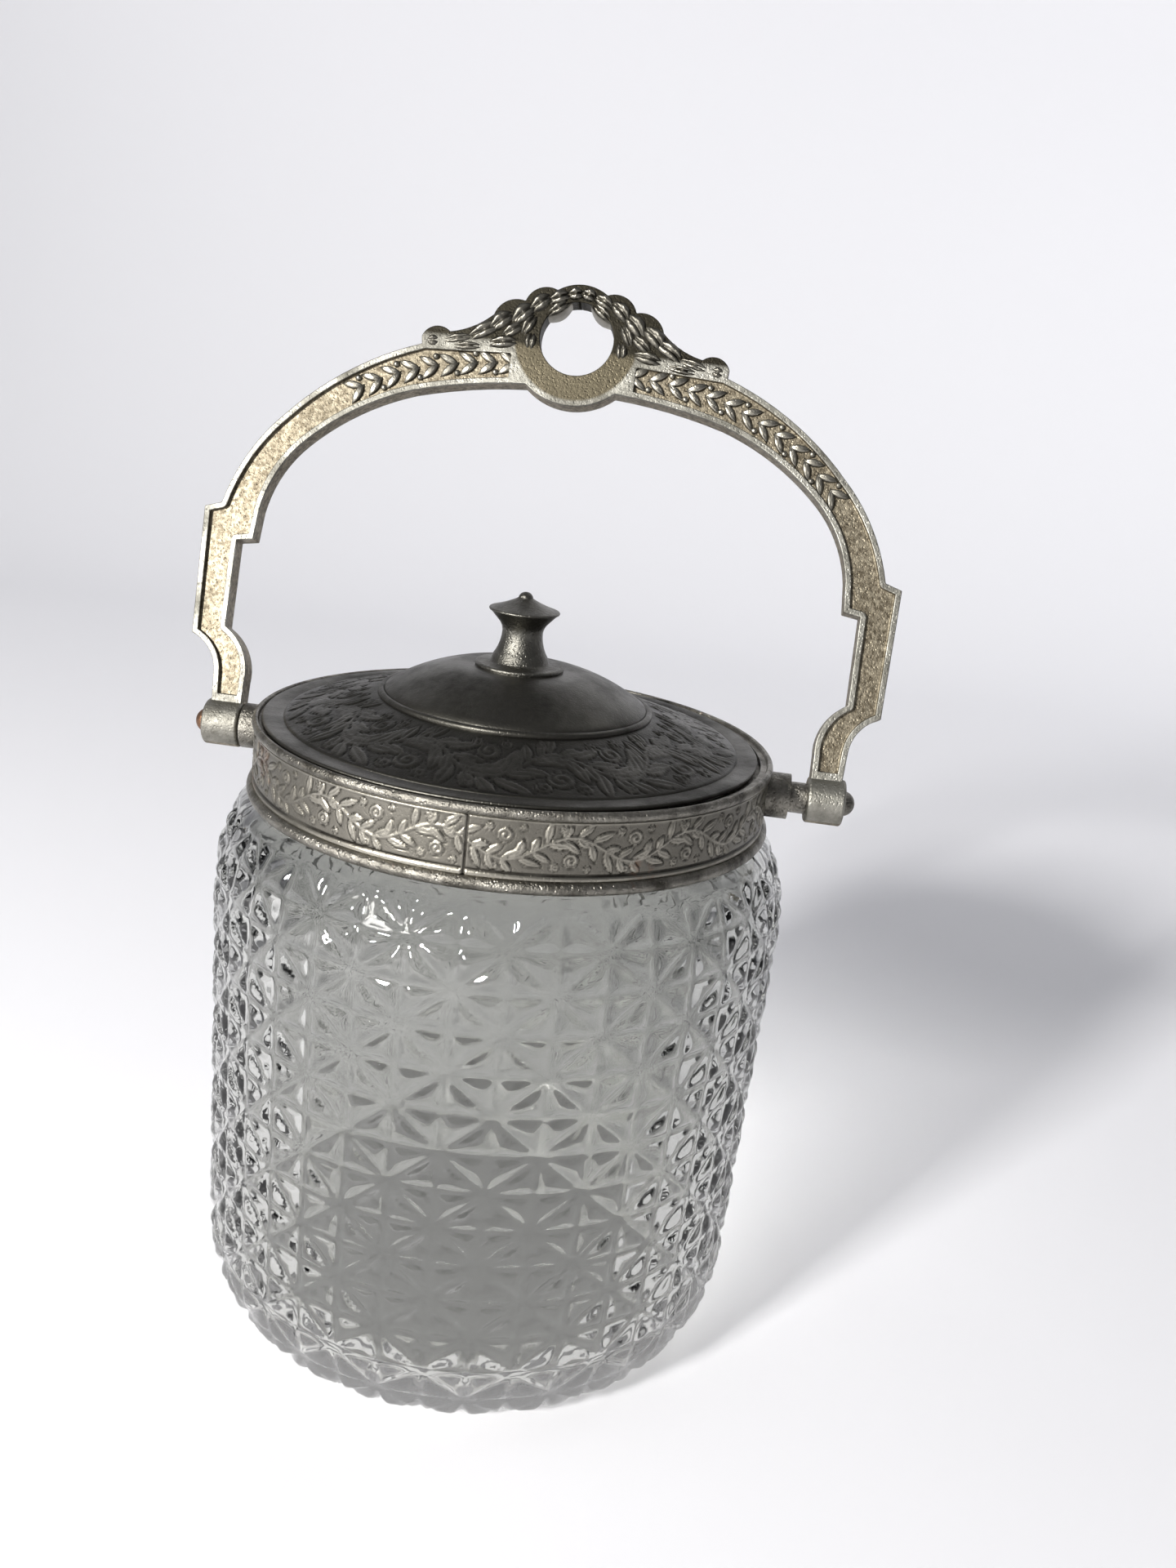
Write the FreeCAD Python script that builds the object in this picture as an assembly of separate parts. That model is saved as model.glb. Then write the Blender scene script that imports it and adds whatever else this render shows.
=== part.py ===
import FreeCAD, Part
import math
import os

# Biscuit jar: pressed glass body, plated collar cemented round its neck, lift-off lid and swinging bail.
# Millimetres, +Z up. The origin is the centre of the glass foot. X runs along the bail's pivots.

# Glass body
glass_max_radius = 63.5
glass_wall_foot_radius = 61.9
glass_foot_radius = 50.0
glass_heel_height = 20.3
glass_shoulder_start = 101.4
glass_neck_radius = 52.5
glass_neck_start = 121.5
glass_mouth_radius = 47.5
glass_mouth_height = 131.0
glass_wall = 5.0
glass_floor = 7.0

# Stars pressed into the glass: rows of nodes, each with eight grooves running out of it
stars_round = 20
star_row = 8.6
star_row_start = 108.5
groove_depth = 1.2
pad_inset = 2.7

# Collar
band_radius = 56.0
band_sheet = 0.7
band_bottom = 123.4
band_top = 135.2
rim_radius = 56.7
rim_top = 137.3
bead_radius = 57.35
bead_middle = 122.1
bead_foot_radius = 56.3
bead_foot = 120.8
seat_hole_radius = 51.6
seat_ledge_bottom = 134.6
seat_ledge_top = 135.3
seat_lip_radius = 54.0
seat_lip_top = 136.5
cement_bottom = 122.2

# Pivots
pivot_height = 130.0
boss_radius = 5.0
boss_end = 61.0
pivot_neck_radius = 3.4
pivot_neck_end = 66.0
pin_radius = 1.6
pin_bore_end = 58.5
running_gap = 0.05

# Bail, laid out upright in its own plane, then leaned back and pushed over to one side
bail_thickness = 5.0
bail_lean = 18.0
bail_side_shift = 1.7
ear_radius = 5.1
ear_inner = 63.1
ear_outer = 71.3
ear_counterbore_end = 68.1
ear_chamfer = 0.8
pin_inner_end = 61.7
pin_head_radius = 2.8
pin_head_height = 2.5
panel_border = 1.3
panel_depth = 1.0
ring_height = 94.2
ring_hole_radius = 8.2
ring_outer_radius = 15.0
ring_hole_peak = 102.5
crest_overlap = 4.0

# Lid
lid_offset = -0.8
lid_radius = 54.0
lid_underside = 136.5
lid_border_top = 137.4
lid_border_inner = 49.3
lid_sheet = 0.9
lid_ridge_radius = 29.6
lid_ridge_height = 143.6
dome_base_radius = 28.4
dome_base_height = 144.8
dome_top_radius = 14.6
dome_top_height = 151.1
skirt_radius = 50.0
skirt_sheet = 0.6
skirt_bottom = 131.6
stud_radius = 2.0
stud_bottom = 143.0
nut_radius = 4.2
nut_height = 3.0
washer_radius = 7.0
washer_thickness = 0.8

# Knob
knob_base_radius = 9.6
knob_base_top = 152.2
knob_flare_radius = 6.5
knob_flare_height = 154.2
knob_waist_radius = 4.4
knob_waist_height = 158.6
knob_brim_under_radius = 5.5
knob_brim_under_height = 161.3
knob_brim_radius = 7.7
knob_brim_height = 163.6
knob_tip_height = 167.6


def point(radius, height):
    return FreeCAD.Vector(radius, 0, height)


def line(start, end):
    return Part.LineSegment(point(*start), point(*end)).toShape()


def arc(start, middle, end):
    return Part.Arc(point(*start), point(*middle), point(*end)).toShape()


def turned(edges):
    """Turn a closed profile, drawn in the XZ plane, once round the Z axis."""
    face = Part.Face(Part.Wire(edges))
    solid = face.revolve(FreeCAD.Vector(0, 0, 0), FreeCAD.Vector(0, 0, 1), 360)
    return tidy(solid)


def tidy(shape):
    """Give one clean solid that points outwards."""
    solid = shape.Solids[0] if shape.Solids else Part.makeSolid(shape)
    if solid.Volume < 0:
        solid.reverse()
    return solid


def ring(outer, inner, bottom, top):
    return turned([line((inner, bottom), (outer, bottom)), line((outer, bottom), (outer, top)),
                   line((outer, top), (inner, top)), line((inner, top), (inner, bottom))])


def rod(radius, start_x, end_x):
    """A cylinder along X on the pivot axis, drawn about Z = 0."""
    return Part.makeCylinder(radius, abs(end_x - start_x), FreeCAD.Vector(min(start_x, end_x), 0, 0),
                             FreeCAD.Vector(1, 0, 0))


def quarter(foot_radius, side_radius, low, high, heading):
    """The middle point of a quarter ellipse from the side to the foot or neck."""
    half = math.sqrt(0.5)
    radius = foot_radius + (side_radius - foot_radius) * half
    height = low + (high - low) * (1 - half) if heading == "foot" else low + (high - low) * half
    return (radius, height)


def glass_outer_edges():
    """The plain outside of the glass from the foot edge up to the neck, under the pattern."""
    heel_middle = quarter(glass_foot_radius, glass_wall_foot_radius, 0, glass_heel_height, "foot")
    shoulder_middle = quarter(glass_neck_radius, glass_max_radius, glass_shoulder_start,
                              glass_neck_start, "neck")
    return [
        arc((glass_foot_radius, 0), heel_middle, (glass_wall_foot_radius, glass_heel_height)),
        line((glass_wall_foot_radius, glass_heel_height), (glass_max_radius, glass_shoulder_start)),
        arc((glass_max_radius, glass_shoulder_start), shoulder_middle, (glass_neck_radius, glass_neck_start)),
    ]


def on_outside(edges, along, depth):
    """Radius and height of a place on the outside, so far along it and so deep in the glass."""
    for edge in edges:
        if along <= edge.Length or edge is edges[-1]:
            break
        along -= edge.Length
    place = edge.getParameterByLength(along)
    spot = edge.valueAt(place)
    tangent = edge.tangentAt(place)
    return (spot.x - tangent.z * depth, spot.z + tangent.x * depth)


def star_block():
    """The glass as a solid block with pressed pads: each cell of the pattern is two hipped triangles."""
    edges = glass_outer_edges()
    columns = 2 * stars_round
    row_count = int(star_row_start // star_row)
    first_row = -row_count
    last_row = 2

    def corner(column, row, depth):
        radius, height = on_outside(edges, star_row_start + row * star_row, depth)
        angle = math.pi * column / stars_round - math.pi / 2
        return FreeCAD.Vector(radius * math.cos(angle), radius * math.sin(angle), height)

    column_inset = pad_inset / (math.pi * glass_max_radius / stars_round)
    row_inset = pad_inset / star_row
    faces = []
    grid = {}
    for row in range(first_row, last_row + 1):
        depth = 0 if row == last_row else groove_depth
        for column in range(columns):
            grid[column, row] = corner(column, row, depth)
    for row in range(first_row, last_row):
        for column in range(columns):
            after = (column + 1) % columns
            low_left, low_right = grid[column, row], grid[after, row]
            high_left, high_right = grid[column, row + 1], grid[after, row + 1]
            if (column + row) % 2 == 0:
                halves = [((low_left, low_right, high_right), 1 - column_inset, row_inset),
                          ((low_left, high_right, high_left), column_inset, 1 - row_inset)]
            else:
                halves = [((low_left, low_right, high_left), column_inset, row_inset),
                          ((low_right, high_right, high_left), 1 - column_inset, 1 - row_inset)]
            for corners, across, up in halves:
                top = corner(column + across, row + up, 0)
                for k in range(3):
                    faces.append(Part.Face(Part.makePolygon([corners[k], corners[(k + 1) % 3], top, corners[k]])))
    foot = [FreeCAD.Vector(glass_foot_radius * math.cos(math.pi * k / stars_round - math.pi / 2),
                           glass_foot_radius * math.sin(math.pi * k / stars_round - math.pi / 2), 0)
            for k in range(columns)]
    for column in range(columns):
        after = (column + 1) % columns
        faces.append(Part.Face(Part.makePolygon([foot[column], foot[after], grid[after, first_row],
                                                 grid[column, first_row], foot[column]])))
    faces.append(Part.Face(Part.makePolygon(foot + foot[:1])))
    top = [grid[column, last_row] for column in range(columns)]
    faces.append(Part.Face(Part.makePolygon(top + top[:1])))
    return tidy(Part.makeSolid(Part.makeShell(faces))), top[0]


def glass_jar():
    block, top_corner = star_block()
    edges = glass_outer_edges()
    top_radius = math.hypot(top_corner.x, top_corner.y)
    shoulder_radius = top_radius * math.cos(math.pi / 2 / stars_round) - 0.05
    neck = turned([
        line((0, top_corner.z - 5), (shoulder_radius, top_corner.z - 5)),
        line((shoulder_radius, top_corner.z - 5), (shoulder_radius, top_corner.z)),
        line((shoulder_radius, top_corner.z), (glass_neck_radius, glass_neck_start)),
        line((glass_neck_radius, glass_neck_start), (glass_neck_radius, glass_mouth_height)),
        line((glass_neck_radius, glass_mouth_height), (0, glass_mouth_height)),
        line((0, glass_mouth_height), (0, top_corner.z - 5)),
    ])
    bore_foot = glass_foot_radius - glass_wall
    bore_low = glass_wall_foot_radius - glass_wall
    bore_high = glass_max_radius - glass_wall
    inner_heel = quarter(bore_foot, bore_low, glass_floor, glass_heel_height + 2, "foot")
    inner_shoulder = quarter(glass_mouth_radius, bore_high, glass_shoulder_start,
                             glass_neck_start - 2, "neck")
    cavity = turned([
        line((0, glass_mouth_height + 1), (glass_mouth_radius, glass_mouth_height + 1)),
        line((glass_mouth_radius, glass_mouth_height + 1), (glass_mouth_radius, glass_neck_start - 2)),
        arc((glass_mouth_radius, glass_neck_start - 2), inner_shoulder, (bore_high, glass_shoulder_start)),
        line((bore_high, glass_shoulder_start), (bore_low, glass_heel_height + 2)),
        arc((bore_low, glass_heel_height + 2), inner_heel, (bore_foot, glass_floor)),
        line((bore_foot, glass_floor), (0, glass_floor)),
        line((0, glass_floor), (0, glass_mouth_height + 1)),
    ])
    return tidy(block.fuse(neck).cut(cavity))


def plaster_bed():
    return ring(band_radius - band_sheet, glass_neck_radius, cement_bottom, glass_mouth_height)


def collar_band():
    return ring(band_radius, band_radius - band_sheet, band_bottom, band_top)


def collar_top_rim():
    inner = band_radius - band_sheet
    return turned([
        line((inner, band_top), (band_radius, band_top)),
        arc((band_radius, band_top), (rim_radius, band_top + 1.0), (band_radius, rim_top)),
        arc((band_radius, rim_top), (inner + 0.2, rim_top - 0.15), (inner, rim_top - 0.5)),
        line((inner, rim_top - 0.5), (inner, band_top)),
    ])


def collar_foot_bead():
    inner = band_radius - band_sheet
    return turned([
        line((inner, band_bottom), (band_radius, band_bottom)),
        arc((band_radius, band_bottom), (bead_radius, bead_middle), (bead_foot_radius, bead_foot)),
        line((bead_foot_radius, bead_foot), (inner, cement_bottom - 0.9)),
        line((inner, cement_bottom - 0.9), (inner, band_bottom)),
    ])


def lid_seat_ring():
    outer = band_radius - band_sheet
    return turned([
        line((seat_hole_radius, seat_ledge_bottom), (outer, seat_ledge_bottom)),
        line((outer, seat_ledge_bottom), (outer, seat_lip_top)),
        line((outer, seat_lip_top), (seat_lip_radius, seat_lip_top)),
        line((seat_lip_radius, seat_lip_top), (seat_lip_radius, seat_ledge_top)),
        line((seat_lip_radius, seat_ledge_top), (seat_hole_radius, seat_ledge_top)),
        line((seat_hole_radius, seat_ledge_top), (seat_hole_radius, seat_ledge_bottom)),
    ])


def pivot_boss(side):
    """A stepped boss soldered to the collar: the ear turns on its reduced neck."""
    body = rod(boss_radius, band_radius - 2, boss_end)
    body = body.fuse(rod(pivot_neck_radius, boss_end - 1, pivot_neck_end))
    body = body.cut(rod(pin_radius + running_gap, pin_bore_end, pivot_neck_end + 1))
    body.translate(FreeCAD.Vector(0, 0, pivot_height))
    drum = Part.makeCylinder(band_radius, 40, FreeCAD.Vector(0, 0, pivot_height - 20))
    boss = tidy(body.cut(drum))
    if side < 0:
        boss = boss.mirror(FreeCAD.Vector(0, 0, 0), FreeCAD.Vector(1, 0, 0))
    return tidy(boss)


def pose_bail(shape):
    """Lean a piece drawn in the bail's upright plane, and push it to where it hangs."""
    shape.rotate(FreeCAD.Vector(0, 0, 0), FreeCAD.Vector(1, 0, 0), -bail_lean)
    shape.translate(FreeCAD.Vector(bail_side_shift, 0, pivot_height))
    return shape


def strip_outline():
    """One side of the bail from its ear to the middle: leg, step, upright and arch."""
    return [
        line((0, 83.2), (0, 92.9)),
        arc((0, 92.9), (17.0, 92.2), (33.0, 89.7)),
        arc((33.0, 89.7), (48.8, 82.0), (62.5, 70.2)),
        arc((62.5, 70.2), (70.4, 59.0), (74.1, 48.7)),
        line((74.1, 48.7), (77.8, 47.5)),
        line((77.8, 47.5), (76.8, 19.0)),
        arc((76.8, 19.0), (72.8, 16.2), (70.7, 11.0)),
        line((70.7, 11.0), (70.0, 0)),
        line((70.0, 0), (63.5, 0)),
        line((63.5, 0), (63.5, 9.5)),
        arc((63.5, 9.5), (65.2, 17.2), (69.4, 21.3)),
        line((69.4, 21.3), (69.6, 40.7)),
        line((69.6, 40.7), (65.9, 41.3)),
        line((65.9, 41.3), (65.4, 48.0)),
        arc((65.4, 48.0), (63.0, 56.2), (57.4, 64.4)),
        arc((57.4, 64.4), (47.6, 72.4), (34.6, 78.7)),
        arc((34.6, 78.7), (18.0, 82.2), (0, 83.2)),
    ]


def crest_outline():
    """One side of the leaf crest over the ring, from its bulb end to its top."""
    low = ring_height - crest_overlap
    return [
        line((0, low), (0, 106.4)),
        arc((0, 106.4), (3.0, 105.9), (5.6, 104.6)),
        arc((5.6, 104.6), (9.6, 104.6), (12.4, 101.4)),
        arc((12.4, 101.4), (17.2, 100.4), (19.0, 97.6)),
        arc((19.0, 97.6), (23.4, 94.4), (28.2, 92.7)),
        arc((28.2, 92.7), (32.6, 93.2), (34.4, 91.0)),
        line((34.4, 91.0), (34.0, 88.2)),
        line((34.0, 88.2), (0, low)),
    ]


def slab(edges, thickness, offset=0):
    """A plate of the given thickness, centred on the bail's plane and moved by offset along Y."""
    face = Part.Face(Part.Wire(edges))
    plate = face.extrude(FreeCAD.Vector(0, thickness, 0))
    plate.translate(FreeCAD.Vector(0, offset - thickness / 2, 0))
    return tidy(plate)


def panel_cutters():
    """The sunk panels on both faces, inside a raised border."""
    face = Part.Face(Part.Wire(strip_outline()))
    inner = face.makeOffset2D(-panel_border)
    keep_low = Part.makeBox(200, 40, 200, FreeCAD.Vector(ring_outer_radius - 1, -20, 6.2))
    cutters = []
    for side in (-1, 1):
        plate = inner.extrude(FreeCAD.Vector(0, 2 * panel_depth, 0))
        middle = side * bail_thickness / 2
        plate.translate(FreeCAD.Vector(0, middle - panel_depth, 0))
        cutters.append(plate.common(keep_low))
    return cutters


def ear(side):
    """The ear barrel, bored for the pin and counterbored for the neck of the boss."""
    barrel = rod(ear_radius, ear_inner, ear_outer)
    ends = [edge for edge in barrel.Edges if edge.BoundBox.XLength < 0.01]
    barrel = barrel.makeChamfer(ear_chamfer / 2, ends)
    return barrel if side > 0 else barrel.mirror(FreeCAD.Vector(0, 0, 0), FreeCAD.Vector(1, 0, 0))


def ear_bores(side):
    bore = rod(pivot_neck_radius + running_gap, ear_inner - 8, ear_counterbore_end)
    bore = bore.fuse(rod(pin_radius, ear_inner, ear_outer + 4))
    return bore if side > 0 else bore.mirror(FreeCAD.Vector(0, 0, 0), FreeCAD.Vector(1, 0, 0))


def ring_hole():
    hole = Part.makeCylinder(ring_hole_radius, 20, FreeCAD.Vector(0, -10, ring_height), FreeCAD.Vector(0, 1, 0))
    shoulder = ring_hole_radius * math.cos(math.radians(30))
    shoulder_height = ring_height + ring_hole_radius * math.sin(math.radians(30))
    peak = slab([line((-shoulder, shoulder_height), (shoulder, shoulder_height)),
                 line((shoulder, shoulder_height), (0, ring_hole_peak)),
                 line((0, ring_hole_peak), (-shoulder, shoulder_height))], 20)
    return hole.fuse(peak)


def bail():
    half = slab(strip_outline(), bail_thickness)
    for cutter in panel_cutters():
        half = half.cut(cutter)
    half = half.fuse(slab(crest_outline(), bail_thickness))
    other = half.mirror(FreeCAD.Vector(0, 0, 0), FreeCAD.Vector(1, 0, 0))
    whole = half.fuse([other, ear(1), ear(-1)])
    disc = Part.makeCylinder(ring_outer_radius, bail_thickness,
                             FreeCAD.Vector(0, -bail_thickness / 2, ring_height), FreeCAD.Vector(0, 1, 0))
    lower = Part.makeBox(60, 40, 30, FreeCAD.Vector(-30, -20, ring_height - 30))
    whole = whole.fuse(disc.common(lower))
    whole = whole.cut(ring_hole())
    for side in (-1, 1):
        whole = whole.cut(ear_bores(side))
    return pose_bail(tidy(whole.removeSplitter()))


def pivot_pin(side):
    """A domed pin through the ear: its shank runs in the bore of the boss."""
    shank = rod(pin_radius, pin_inner_end, ear_outer)
    ball_radius = (pin_head_radius ** 2 + pin_head_height ** 2) / (2 * pin_head_height)
    ball = Part.makeSphere(ball_radius, FreeCAD.Vector(ear_outer + pin_head_height - ball_radius, 0, 0))
    dome = ball.common(rod(ball_radius + 1, ear_outer, ear_outer + 20))
    pin = tidy(shank.fuse(dome).removeSplitter())
    if side < 0:
        pin = tidy(pin.mirror(FreeCAD.Vector(0, 0, 0), FreeCAD.Vector(1, 0, 0)))
    return pose_bail(pin)


def on_lid(shape):
    shape.translate(FreeCAD.Vector(lid_offset, 0, 0))
    return shape


def lid_shell():
    """The pressed sheet of the lid: flat border, sloping ring, ridge and dome."""
    dome_middle = ((dome_base_radius + dome_top_radius) / 2 + 0.4, (dome_base_height + dome_top_height) / 2 + 0.5)
    under_middle = (dome_middle[0] - 0.3, dome_middle[1] - lid_sheet)
    under_ridge = lid_ridge_height - lid_sheet
    under_dome = dome_base_height - lid_sheet - 0.2
    return on_lid(turned([
        line((stud_radius, dome_top_height), (dome_top_radius, dome_top_height)),
        arc((dome_top_radius, dome_top_height), dome_middle, (dome_base_radius, dome_base_height)),
        line((dome_base_radius, dome_base_height), (lid_ridge_radius, dome_base_height - 0.3)),
        line((lid_ridge_radius, dome_base_height - 0.3), (lid_ridge_radius + 0.3, lid_ridge_height)),
        line((lid_ridge_radius + 0.3, lid_ridge_height), (lid_border_inner, lid_border_top + 0.2)),
        line((lid_border_inner, lid_border_top + 0.2), (lid_border_inner + 0.4, lid_border_top)),
        line((lid_border_inner + 0.4, lid_border_top), (lid_radius - 0.3, lid_border_top)),
        arc((lid_radius - 0.3, lid_border_top), (lid_radius, lid_border_top - 0.45),
            (lid_radius - 0.3, lid_underside)),
        line((lid_radius - 0.3, lid_underside), (lid_border_inner, lid_underside)),
        line((lid_border_inner, lid_underside), (lid_ridge_radius - 0.6, under_ridge)),
        line((lid_ridge_radius - 0.6, under_ridge), (dome_base_radius - 0.5, under_dome)),
        arc((dome_base_radius - 0.5, under_dome), under_middle, (dome_top_radius, dome_top_height - lid_sheet)),
        line((dome_top_radius, dome_top_height - lid_sheet), (stud_radius, dome_top_height - lid_sheet)),
        line((stud_radius, dome_top_height - lid_sheet), (stud_radius, dome_top_height)),
    ]))


def lid_skirt():
    return on_lid(ring(skirt_radius, skirt_radius - skirt_sheet, skirt_bottom, lid_underside))


def knob():
    flare_middle = (knob_waist_radius + 0.35, (knob_flare_height + knob_waist_height) / 2)
    neck_middle = (knob_waist_radius + 0.25, (knob_waist_height + knob_brim_under_height) / 2 + 0.2)
    flange_top = (knob_base_radius - 0.4, knob_base_top - 0.2)
    flare_foot = (knob_flare_radius, knob_base_top)
    flare_top = (knob_flare_radius - 0.9, knob_flare_height)
    cap_edge = (knob_brim_radius - 0.3, knob_brim_height + 0.3)
    tip_foot = (1.6, knob_tip_height - 1.3)
    tip_top = (0.5, knob_tip_height)
    socket_top = knob_flare_height + 2
    return on_lid(turned([
        line((0, socket_top), (stud_radius, socket_top)),
        line((stud_radius, socket_top), (stud_radius, dome_top_height)),
        line((stud_radius, dome_top_height), (knob_base_radius, dome_top_height)),
        line((knob_base_radius, dome_top_height), flange_top),
        line(flange_top, flare_foot),
        line(flare_foot, flare_top),
        arc(flare_top, flare_middle, (knob_waist_radius, knob_waist_height)),
        arc((knob_waist_radius, knob_waist_height), neck_middle, (knob_brim_under_radius, knob_brim_under_height)),
        line((knob_brim_under_radius, knob_brim_under_height), (knob_brim_radius, knob_brim_height)),
        line((knob_brim_radius, knob_brim_height), cap_edge),
        arc(cap_edge, (4.0, knob_brim_height + 1.6), tip_foot),
        line(tip_foot, tip_top),
        line(tip_top, (0, knob_tip_height)),
        line((0, knob_tip_height), (0, socket_top)),
    ]))


def knob_stud():
    top = knob_flare_height + 2
    return on_lid(Part.makeCylinder(stud_radius, top - stud_bottom, FreeCAD.Vector(0, 0, stud_bottom)))


def knob_washer():
    top = dome_top_height - lid_sheet
    return on_lid(ring(washer_radius, stud_radius, top - washer_thickness, top))


def knob_nut():
    top = dome_top_height - lid_sheet - washer_thickness
    corners = [FreeCAD.Vector(nut_radius * math.cos(math.radians(60 * k)), nut_radius * math.sin(math.radians(60 * k)),
                              top - nut_height) for k in range(7)]
    prism = Part.Face(Part.makePolygon(corners)).extrude(FreeCAD.Vector(0, 0, nut_height))
    hole = Part.makeCylinder(stud_radius, nut_height + 2, FreeCAD.Vector(0, 0, top - nut_height - 1))
    return on_lid(tidy(prism.cut(hole)))


pieces = {
    "glass_jar": glass_jar(),
    "plaster_bed": plaster_bed(),
    "collar_band": collar_band(),
    "collar_top_rim": collar_top_rim(),
    "collar_foot_bead": collar_foot_bead(),
    "lid_seat_ring": lid_seat_ring(),
    "left_pivot_boss": pivot_boss(-1),
    "right_pivot_boss": pivot_boss(1),
    "bail": bail(),
    "left_pivot_pin": pivot_pin(-1),
    "right_pivot_pin": pivot_pin(1),
    "lid_shell": lid_shell(),
    "lid_skirt": lid_skirt(),
    "knob": knob(),
    "knob_stud": knob_stud(),
    "knob_washer": knob_washer(),
    "knob_nut": knob_nut(),
}

os.makedirs("parts", exist_ok=True)
for name, shape in pieces.items():
    shape.exportStep("parts/" + name + ".step")
    print(name, "valid", shape.isValid(), "solids", len(shape.Solids), "volume", round(shape.Volume, 1))
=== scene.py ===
import math
import bmesh
import bpy
from mathutils import Matrix, Vector


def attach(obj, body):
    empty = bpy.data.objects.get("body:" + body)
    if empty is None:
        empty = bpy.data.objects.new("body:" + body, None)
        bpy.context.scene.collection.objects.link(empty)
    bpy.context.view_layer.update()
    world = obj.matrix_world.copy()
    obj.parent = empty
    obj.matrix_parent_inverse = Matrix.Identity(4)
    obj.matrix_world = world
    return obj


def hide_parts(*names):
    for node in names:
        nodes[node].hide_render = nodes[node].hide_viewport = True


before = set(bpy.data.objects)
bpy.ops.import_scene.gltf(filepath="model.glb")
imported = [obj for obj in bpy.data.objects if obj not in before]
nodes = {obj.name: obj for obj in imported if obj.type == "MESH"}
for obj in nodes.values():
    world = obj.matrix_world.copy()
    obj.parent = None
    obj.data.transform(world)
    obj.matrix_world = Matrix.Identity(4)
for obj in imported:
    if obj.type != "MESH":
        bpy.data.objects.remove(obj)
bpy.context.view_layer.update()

# Sizes are in metres
mm = 0.001
turn = 2 * math.pi

# The mark of points that lie off a pattern, the most sectors a turned piece is made of and its usual steps
unmarked = -1.0
most_sectors = 48
turned_steps = 256
merge_distance = 0.001 * mm

# Glass body, as in the frame
glass_max_radius = 63.5 * mm
glass_heel_radius = 61.9 * mm
glass_foot_radius = 50.0 * mm
glass_heel_height = 20.3 * mm
glass_shoulder_start = 101.4 * mm
glass_neck_radius = 52.5 * mm
glass_neck_start = 121.5 * mm
glass_mouth_radius = 47.5 * mm
glass_mouth_height = 131.0 * mm
glass_wall = 5.0 * mm
glass_floor = 7.0 * mm

# Star pattern pressed into the glass
stars_round = 20
columns_per_half_star = 12
star_row = 8.6 * mm
star_row_start = 108.5 * mm
star_half_width = 10.0 * mm
groove_depth = 1.1 * mm
groove_floor = 0.3 * mm
facet_reach = 2.7 * mm
pattern_top = 124.5 * mm
foot_fade = 3.0 * mm
neck_fade = 1.5 * mm

# Collar
band_radius = 56.0 * mm
seam_angle = math.radians(-91)
seam_half_width = 0.45 * mm
seam_groove = 0.2 * mm
band_sheet = 0.7 * mm
band_bottom = 123.4 * mm
band_top = 135.2 * mm
band_relief = 0.28 * mm
band_repeats = 14
band_plain_low = 1.5 * mm
band_plain_high = 0.3 * mm
band_cut_line = 0.5 * mm
rim_radius = 56.7 * mm
rim_top = 137.3 * mm
bead_radius = 57.35 * mm
bead_middle = 122.1 * mm
bead_foot_radius = 56.3 * mm
bead_foot = 120.8 * mm

# Pivots and bail
pivot_height = 130.0 * mm
bail_lean = math.radians(18)
bail_shift = 1.7 * mm
bail_half_thickness = 2.5 * mm
panel_depth = 1.0 * mm
ring_height = 94.2 * mm
ring_border_radii = (8.85 * mm, 14.35 * mm)
ring_border_thickness = 0.62 * mm
ring_border_start = math.radians(-158)
ring_border_sweep = math.radians(136)
ring_channel_edge = (14.1 * mm, 13.5 * mm)
# Heights in the bail's plane where the painted shade under the crest starts and where it is full
crest_shade_start = (90.9 * mm, 92.2 * mm)

# Leaves and berries in the bail's panels
leaf_step = 4.3 * mm
left_leaf_pairs = 9
right_leaf_pairs = 13
panel_leaf = (5.6 * mm, 1.9 * mm, 1.0 * mm)
leaf_heading = math.radians(34)
leaf_reach = 2.0 * mm
berry_radius = 0.75 * mm
berry_offset = 2.1 * mm
berry_lift = 0.15 * mm

# Crest leaves of one side: place across and up, heading, length, width, height and bend, in mm and degrees
crest_leaves = (
    (31.8, 90.3, -8, 4.4, 3.2, 3.3, 0.0),
    (26.4, 91.4, -14, 11.5, 2.6, 3.3, 0.5),
    (20.6, 94.0, -30, 12.5, 4.2, 3.6, 1.0),
    (24.0, 89.9, -6, 11.0, 2.4, 3.4, 0.3),
    (17.2, 96.4, -42, 9.5, 4.6, 3.9, 0.9),
    (16.2, 91.7, -10, 10.5, 3.6, 3.6, 0.6),
    (12.6, 98.6, -46, 9.5, 4.8, 3.9, 1.0),
    (14.4, 94.6, -36, 8.5, 3.4, 3.7, 0.4),
    (9.0, 101.4, -42, 8.5, 4.2, 3.9, 0.8),
    (11.0, 96.2, -62, 8.0, 3.2, 3.8, 0.6),
    (10.2, 92.6, -84, 6.0, 3.2, 3.6, 0.5),
    (5.0, 103.0, -26, 8.0, 3.6, 3.8, 0.7),
    (4.8, 100.7, -37, 8.6, 3.0, 3.5, 0.0),
    (1.5, 104.1, -14, 5.6, 3.6, 3.8, 0.4),
)

# Lid
lid_offset = -0.8 * mm
lid_radius = 54.0 * mm
lid_underside = 136.5 * mm
lid_border_top = 137.4 * mm
lid_border_inner = 49.3 * mm
lid_sheet = 0.9 * mm
ridge_radius = 29.6 * mm
ridge_height = 143.6 * mm
dome_base_radius = 28.4 * mm
dome_base_height = 144.8 * mm
dome_top_radius = 14.6 * mm
dome_top_height = 151.1 * mm
lid_repeats = 9
lid_relief = 0.22 * mm
lid_vine_radius = 40.0 * mm
lid_plain_edge = 0.6 * mm
stud_radius = 2.0 * mm

# Camera, fitted to the outlines of the jar
camera_place = Vector((0.0333, -0.2912, 0.2157))
camera_aim = Vector((0.0170, 0.0, 0.1268))
camera_roll = math.radians(6.59)
camera_lens = 31.56

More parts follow.
